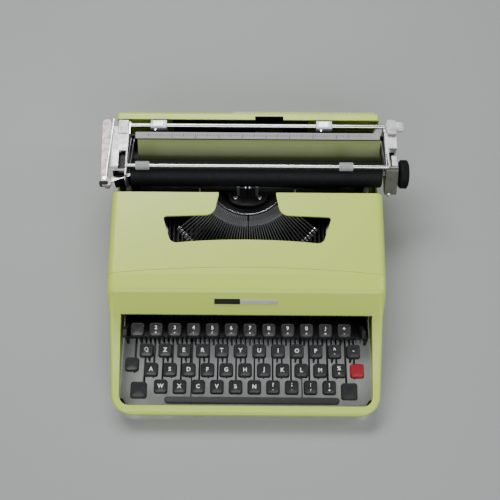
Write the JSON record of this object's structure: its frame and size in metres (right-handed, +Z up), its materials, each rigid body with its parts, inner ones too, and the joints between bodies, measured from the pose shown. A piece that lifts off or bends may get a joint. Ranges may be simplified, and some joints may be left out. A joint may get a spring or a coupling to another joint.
{
  "type": "portable typewriter",
  "caption": "Flat portable manual typewriter with a sloping keyboard, travelling carriage, lift-off top cover and folding return lever.",
  "frame": {"origin": "middle of the whole machine over its footprint, on the surface that it stands on", "axes": "+X to the typist's right along the carriage, +Y away from the typist, +Z up"},
  "size_m": [0.3314, 0.323, 0.103],
  "materials": {
    "lime_paint": "satin enamel, pale yellow-green",
    "olive_paint": "satin enamel, deeper green",
    "black_enamel": "black enamel on pressed steel",
    "blackened_steel": "blackened steel",
    "key_plastic": "moulded, satin, near black",
    "red_plastic": "moulded, red",
    "bright_steel": "bright plated steel",
    "grey_casting": "satin cast aluminium",
    "scale_metal": "brushed strip with dark graduations",
    "platen_rubber": "ground black rubber on a steel core",
    "knob_plastic": "ribbed black plastic"
  },
  "bodies": {
    "root": {"lower_housing": "lime_paint", "chassis": "black_enamel"},
    "cover": {"top_cover": "lime_paint"},
    "key_a": {"key_a": "key_plastic"},
    "key_b": {"key_b": "key_plastic"},
    "key_c": {"key_c": "key_plastic"},
    "key_circumflex": {"key_circumflex": "key_plastic"},
    "key_colon": {"key_colon": "key_plastic"},
    "key_d": {"key_d": "key_plastic"},
    "key_e": {"key_e": "key_plastic"},
    "key_exclamation": {"key_exclamation": "key_plastic"},
    "key_f": {"key_f": "key_plastic"},
    "key_g": {"key_g": "key_plastic"},
    "key_h": {"key_h": "key_plastic"},
    "key_i": {"key_i": "key_plastic"},
    "key_j": {"key_j": "key_plastic"},
    "key_k": {"key_k": "key_plastic"},
    "key_l": {"key_l": "key_plastic"},
    "key_m": {"key_m": "key_plastic"},
    "key_n": {"key_n": "key_plastic"},
    "key_o": {"key_o": "key_plastic"},
    "key_p": {"key_p": "key_plastic"},
    "key_percent": {"key_percent": "key_plastic"},
    "key_q": {"key_q": "key_plastic"},
    "key_question": {"key_question": "key_plastic"},
    "key_r": {"key_r": "key_plastic"},
    "key_s": {"key_s": "key_plastic"},
    "key_semicolon": {"key_semicolon": "key_plastic"},
    "key_t": {"key_t": "key_plastic"},
    "key_u": {"key_u": "key_plastic"},
    "key_v": {"key_v": "key_plastic"},
    "key_w": {"key_w": "key_plastic"},
    "key_x": {"key_x": "key_plastic"},
    "key_y": {"key_y": "key_plastic"},
    "key_z": {"key_z": "key_plastic"},
    "margin_release_key": {"margin_release_key": "key_plastic"},
    "backspace_key": {"backspace_key": "key_plastic"},
    "shift_lock_key": {"shift_lock_key": "key_plastic"},
    "tab_key": {"tab_key": "red_plastic"},
    "number_key_bank": {"number_key_bank": "key_plastic"},
    "shift_keys": {"shift_keys": "key_plastic"},
    "space_bar": {"space_bar": "key_plastic"},
    "tab_set_lever": {"tab_set_lever": "blackened_steel"},
    "ribbon_selector_lever": {"ribbon_selector_lever": "blackened_steel"},
    "basket": {"type_basket": "blackened_steel"},
    "typebar": {"typebar_h": "bright_steel"},
    "spool_left": {"ribbon_spool_left": "blackened_steel"},
    "spool_right": {"ribbon_spool_right": "blackened_steel"},
    "carriage": {"carriage_frame": "grey_casting", "margin_rail": "bright_steel", "paper_table": "olive_paint", "line_scale": "scale_metal"},
    "platen": {"platen": "platen_rubber", "platen_knob": "knob_plastic"},
    "margin_stop_left": {"margin_stop_left": "grey_casting"},
    "margin_stop_right": {"margin_stop_right": "grey_casting"},
    "paper_bail": {"paper_bail": "bright_steel"},
    "return_lever": {"return_lever": "bright_steel"},
    "carriage_release": {"carriage_release_lever": "bright_steel"},
    "paper_release": {"paper_release_lever": "bright_steel"}
  },
  "joints": [
    {"name": "cover_lift", "type": "slide", "parent": "root", "child": "cover", "axis": [0, 0, 1], "range_m": [0, 0.06]},
    {"name": "key_a_press", "type": "hinge", "parent": "root", "child": "key_a", "pos_m": [-0.10273, 0.0685, 0.019], "axis": [1, 0, 0], "range_deg": [0, 3.6], "stiffness_Nm_per_rad": 1, "springref_deg": -2.86},
    {"name": "key_b_press", "type": "hinge", "parent": "root", "child": "key_b", "pos_m": [-0.017, 0.0685, 0.019], "axis": [1, 0, 0], "range_deg": [0, 3.6], "stiffness_Nm_per_rad": 1, "springref_deg": -2.86},
    {"name": "key_c_press", "type": "hinge", "parent": "root", "child": "key_c", "pos_m": [-0.0551, 0.0685, 0.019], "axis": [1, 0, 0], "range_deg": [0, 3.6], "stiffness_Nm_per_rad": 1, "springref_deg": -2.86},
    {"name": "key_circumflex_press", "type": "hinge", "parent": "root", "child": "key_circumflex", "pos_m": [0.08301, 0.0685, 0.019], "axis": [1, 0, 0], "range_deg": [0, 3.6], "stiffness_Nm_per_rad": 1, "springref_deg": -2.86},
    {"name": "key_colon_press", "type": "hinge", "parent": "root", "child": "key_colon", "pos_m": [0.0592, 0.0685, 0.019], "axis": [1, 0, 0], "range_deg": [0, 3.6], "stiffness_Nm_per_rad": 1, "springref_deg": -2.86},
    {"name": "key_d_press", "type": "hinge", "parent": "root", "child": "key_d", "pos_m": [-0.06463, 0.0685, 0.019], "axis": [1, 0, 0], "range_deg": [0, 3.6], "stiffness_Nm_per_rad": 1, "springref_deg": -2.86},
    {"name": "key_e_press", "type": "hinge", "parent": "root", "child": "key_e", "pos_m": [-0.06939, 0.0685, 0.019], "axis": [1, 0, 0], "range_deg": [0, 3.6], "stiffness_Nm_per_rad": 1, "springref_deg": -2.86},
    {"name": "key_exclamation_press", "type": "hinge", "parent": "root", "child": "key_exclamation", "pos_m": [0.07825, 0.0685, 0.019], "axis": [1, 0, 0], "range_deg": [0, 3.6], "stiffness_Nm_per_rad": 1, "springref_deg": -2.86},
    {"name": "key_f_press", "type": "hinge", "parent": "root", "child": "key_f", "pos_m": [-0.04558, 0.0685, 0.019], "axis": [1, 0, 0], "range_deg": [0, 3.6], "stiffness_Nm_per_rad": 1, "springref_deg": -2.86},
    {"name": "key_g_press", "type": "hinge", "parent": "root", "child": "key_g", "pos_m": [-0.02653, 0.0685, 0.019], "axis": [1, 0, 0], "range_deg": [0, 3.6], "stiffness_Nm_per_rad": 1, "springref_deg": -2.86},
    {"name": "key_h_press", "type": "hinge", "parent": "root", "child": "key_h", "pos_m": [-0.00748, 0.0685, 0.019], "axis": [1, 0, 0], "range_deg": [0, 3.6], "stiffness_Nm_per_rad": 1, "springref_deg": -2.86},
    {"name": "key_i_press", "type": "hinge", "parent": "root", "child": "key_i", "pos_m": [0.02586, 0.0685, 0.019], "axis": [1, 0, 0], "range_deg": [0, 3.6], "stiffness_Nm_per_rad": 1, "springref_deg": -2.86},
    {"name": "key_j_press", "type": "hinge", "parent": "root", "child": "key_j", "pos_m": [0.01157, 0.0685, 0.019], "axis": [1, 0, 0], "range_deg": [0, 3.6], "stiffness_Nm_per_rad": 1, "springref_deg": -2.86},
    {"name": "key_k_press", "type": "hinge", "parent": "root", "child": "key_k", "pos_m": [0.03062, 0.0685, 0.019], "axis": [1, 0, 0], "range_deg": [0, 3.6], "stiffness_Nm_per_rad": 1, "springref_deg": -2.86},
    {"name": "key_l_press", "type": "hinge", "parent": "root", "child": "key_l", "pos_m": [0.04967, 0.0685, 0.019], "axis": [1, 0, 0], "range_deg": [0, 3.6], "stiffness_Nm_per_rad": 1, "springref_deg": -2.86},
    {"name": "key_m_press", "type": "hinge", "parent": "root", "child": "key_m", "pos_m": [0.06872, 0.0685, 0.019], "axis": [1, 0, 0], "range_deg": [0, 3.6], "stiffness_Nm_per_rad": 1, "springref_deg": -2.86},
    {"name": "key_n_press", "type": "hinge", "parent": "root", "child": "key_n", "pos_m": [0.00205, 0.0685, 0.019], "axis": [1, 0, 0], "range_deg": [0, 3.6], "stiffness_Nm_per_rad": 1, "springref_deg": -2.86},
    {"name": "key_o_press", "type": "hinge", "parent": "root", "child": "key_o", "pos_m": [0.04491, 0.0685, 0.019], "axis": [1, 0, 0], "range_deg": [0, 3.6], "stiffness_Nm_per_rad": 1, "springref_deg": -2.86},
    {"name": "key_p_press", "type": "hinge", "parent": "root", "child": "key_p", "pos_m": [0.06396, 0.0685, 0.019], "axis": [1, 0, 0], "range_deg": [0, 3.6], "stiffness_Nm_per_rad": 1, "springref_deg": -2.86},
    {"name": "key_percent_press", "type": "hinge", "parent": "root", "child": "key_percent", "pos_m": [0.08777, 0.0685, 0.019], "axis": [1, 0, 0], "range_deg": [0, 3.6], "stiffness_Nm_per_rad": 1, "springref_deg": -2.86},
    {"name": "key_q_press", "type": "hinge", "parent": "root", "child": "key_q", "pos_m": [-0.10749, 0.0685, 0.019], "axis": [1, 0, 0], "range_deg": [0, 3.6], "stiffness_Nm_per_rad": 1, "springref_deg": -2.86},
    {"name": "key_question_press", "type": "hinge", "parent": "root", "child": "key_question", "pos_m": [0.0211, 0.0685, 0.019], "axis": [1, 0, 0], "range_deg": [0, 3.6], "stiffness_Nm_per_rad": 1, "springref_deg": -2.86},
    {"name": "key_r_press", "type": "hinge", "parent": "root", "child": "key_r", "pos_m": [-0.05034, 0.0685, 0.019], "axis": [1, 0, 0], "range_deg": [0, 3.6], "stiffness_Nm_per_rad": 1, "springref_deg": -2.86},
    {"name": "key_s_press", "type": "hinge", "parent": "root", "child": "key_s", "pos_m": [-0.08368, 0.0685, 0.019], "axis": [1, 0, 0], "range_deg": [0, 3.6], "stiffness_Nm_per_rad": 1, "springref_deg": -2.86},
    {"name": "key_semicolon_press", "type": "hinge", "parent": "root", "child": "key_semicolon", "pos_m": [0.04015, 0.0685, 0.019], "axis": [1, 0, 0], "range_deg": [0, 3.6], "stiffness_Nm_per_rad": 1, "springref_deg": -2.86},
    {"name": "key_t_press", "type": "hinge", "parent": "root", "child": "key_t", "pos_m": [-0.03129, 0.0685, 0.019], "axis": [1, 0, 0], "range_deg": [0, 3.6], "stiffness_Nm_per_rad": 1, "springref_deg": -2.86},
    {"name": "key_u_press", "type": "hinge", "parent": "root", "child": "key_u", "pos_m": [0.00681, 0.0685, 0.019], "axis": [1, 0, 0], "range_deg": [0, 3.6], "stiffness_Nm_per_rad": 1, "springref_deg": -2.86},
    {"name": "key_v_press", "type": "hinge", "parent": "root", "child": "key_v", "pos_m": [-0.03605, 0.0685, 0.019], "axis": [1, 0, 0], "range_deg": [0, 3.6], "stiffness_Nm_per_rad": 1, "springref_deg": -2.86},
    {"name": "key_w_press", "type": "hinge", "parent": "root", "child": "key_w", "pos_m": [-0.0932, 0.0685, 0.019], "axis": [1, 0, 0], "range_deg": [0, 3.6], "stiffness_Nm_per_rad": 1, "springref_deg": -2.86},
    {"name": "key_x_press", "type": "hinge", "parent": "root", "child": "key_x", "pos_m": [-0.07415, 0.0685, 0.019], "axis": [1, 0, 0], "range_deg": [0, 3.6], "stiffness_Nm_per_rad": 1, "springref_deg": -2.86},
    {"name": "key_y_press", "type": "hinge", "parent": "root", "child": "key_y", "pos_m": [-0.01224, 0.0685, 0.019], "axis": [1, 0, 0], "range_deg": [0, 3.6], "stiffness_Nm_per_rad": 1, "springref_deg": -2.86},
    {"name": "key_z_press", "type": "hinge", "parent": "root", "child": "key_z", "pos_m": [-0.08844, 0.0685, 0.019], "axis": [1, 0, 0], "range_deg": [0, 3.6], "stiffness_Nm_per_rad": 1, "springref_deg": -2.86},
    {"name": "margin_release_key_press", "type": "hinge", "parent": "root", "child": "margin_release_key", "pos_m": [-0.11663, 0.0685, 0.019], "axis": [1, 0, 0], "range_deg": [0, 3.6], "stiffness_Nm_per_rad": 1, "springref_deg": -2.86},
    {"name": "backspace_key_press", "type": "hinge", "parent": "root", "child": "backspace_key", "pos_m": [0.10206, 0.0685, 0.019], "axis": [1, 0, 0], "range_deg": [0, 3.6], "stiffness_Nm_per_rad": 1, "springref_deg": -2.86},
    {"name": "shift_lock_key_press", "type": "hinge", "parent": "root", "child": "shift_lock_key", "pos_m": [-0.12254, 0.0685, 0.019], "axis": [1, 0, 0], "range_deg": [0, 3.6], "stiffness_Nm_per_rad": 1, "springref_deg": -2.86},
    {"name": "tab_key_press", "type": "hinge", "parent": "root", "child": "tab_key", "pos_m": [0.10625, 0.0685, 0.019], "axis": [1, 0, 0], "range_deg": [0, 3.6], "stiffness_Nm_per_rad": 1, "springref_deg": -2.86},
    {"name": "number_keys_press", "type": "hinge", "parent": "root", "child": "number_key_bank", "pos_m": [-0.00653, 0.0685, 0.019], "axis": [1, 0, 0], "range_deg": [0, 3.6], "stiffness_Nm_per_rad": 4, "springref_deg": -2.86},
    {"name": "shift_press", "type": "hinge", "parent": "root", "child": "shift_keys", "pos_m": [-0.00653, 0.0685, 0.019], "axis": [1, 0, 0], "range_deg": [0, 2.87], "stiffness_Nm_per_rad": 3, "springref_deg": -2.86},
    {"name": "space_bar_press", "type": "hinge", "parent": "root", "child": "space_bar", "pos_m": [-0.00653, 0.0685, 0.019], "axis": [1, 0, 0], "range_deg": [0, 2.3], "stiffness_Nm_per_rad": 1.5, "springref_deg": -2.86},
    {"name": "tab_set_swing", "type": "hinge", "parent": "root", "child": "tab_set_lever", "pos_m": [-0.12913, -0.0727, 0.037], "axis": [1, 0, 0], "range_deg": [-8, 8]},
    {"name": "ribbon_selector_swing", "type": "hinge", "parent": "root", "child": "ribbon_selector_lever", "pos_m": [0.11219, -0.0727, 0.037], "axis": [1, 0, 0], "range_deg": [-8, 8]},
    {"name": "basket_shift", "type": "slide", "parent": "root", "child": "basket", "axis": [0, 0, -1], "range_m": [0, 0.0066], "stiffness_N_per_m": 160, "springref_m": -0.02},
    {"name": "typebar_h_swing", "type": "hinge", "parent": "basket", "child": "typebar", "pos_m": [-0.00653, 0.04437, 0.04376], "axis": [-1, 0, 0], "range_deg": [0, 141]},
    {"name": "spool_left_turn", "type": "hinge", "parent": "root", "child": "spool_left", "pos_m": [-0.11053, 0.0205, 0.0583], "axis": [0, 0, 1], "continuous": true},
    {"name": "spool_right_turn", "type": "hinge", "parent": "root", "child": "spool_right", "pos_m": [0.09749, 0.0205, 0.0583], "axis": [0, 0, 1], "continuous": true},
    {"name": "carriage_travel", "type": "slide", "parent": "root", "child": "carriage", "axis": [1, 0, 0], "range_m": [-0.126, 0.104]},
    {"name": "platen_turn", "type": "hinge", "parent": "carriage", "child": "platen", "pos_m": [-0.12979, 0.088, 0.079], "axis": [1, 0, 0], "continuous": true},
    {"name": "margin_stop_left_slide", "type": "slide", "parent": "carriage", "child": "margin_stop_left", "axis": [1, 0, 0], "range_m": [-0.018, 0.078]},
    {"name": "margin_stop_right_slide", "type": "slide", "parent": "carriage", "child": "margin_stop_right", "axis": [1, 0, 0], "range_m": [-0.076, 0.045]},
    {"name": "paper_bail_lift", "type": "hinge", "parent": "carriage", "child": "paper_bail", "pos_m": [0.00447, 0.1267, 0.084], "axis": [-1, 0, 0], "range_deg": [0, 60]},
    {"name": "return_lever_swing", "type": "hinge", "parent": "carriage", "child": "return_lever", "pos_m": [-0.15604, 0.0695, 0.0924], "axis": [0, 0, 1], "range_deg": [0, 83]},
    {"name": "carriage_release_press", "type": "slide", "parent": "carriage", "child": "carriage_release", "axis": [0, 0, -1], "range_m": [0, 0.0025], "stiffness_N_per_m": 400, "springref_m": -0.003},
    {"name": "paper_release_tilt", "type": "hinge", "parent": "carriage", "child": "paper_release", "pos_m": [0.14694, 0.096, 0.086], "axis": [-1, 0, 0], "range_deg": [0, 18]}
  ],
  "couplings": [
    {"joint": "basket_shift", "follows": "shift_press", "m_per_rad": 0.13},
    {"joint": "typebar_h_swing", "follows": "key_h_press", "ratio": 39}
  ]
}
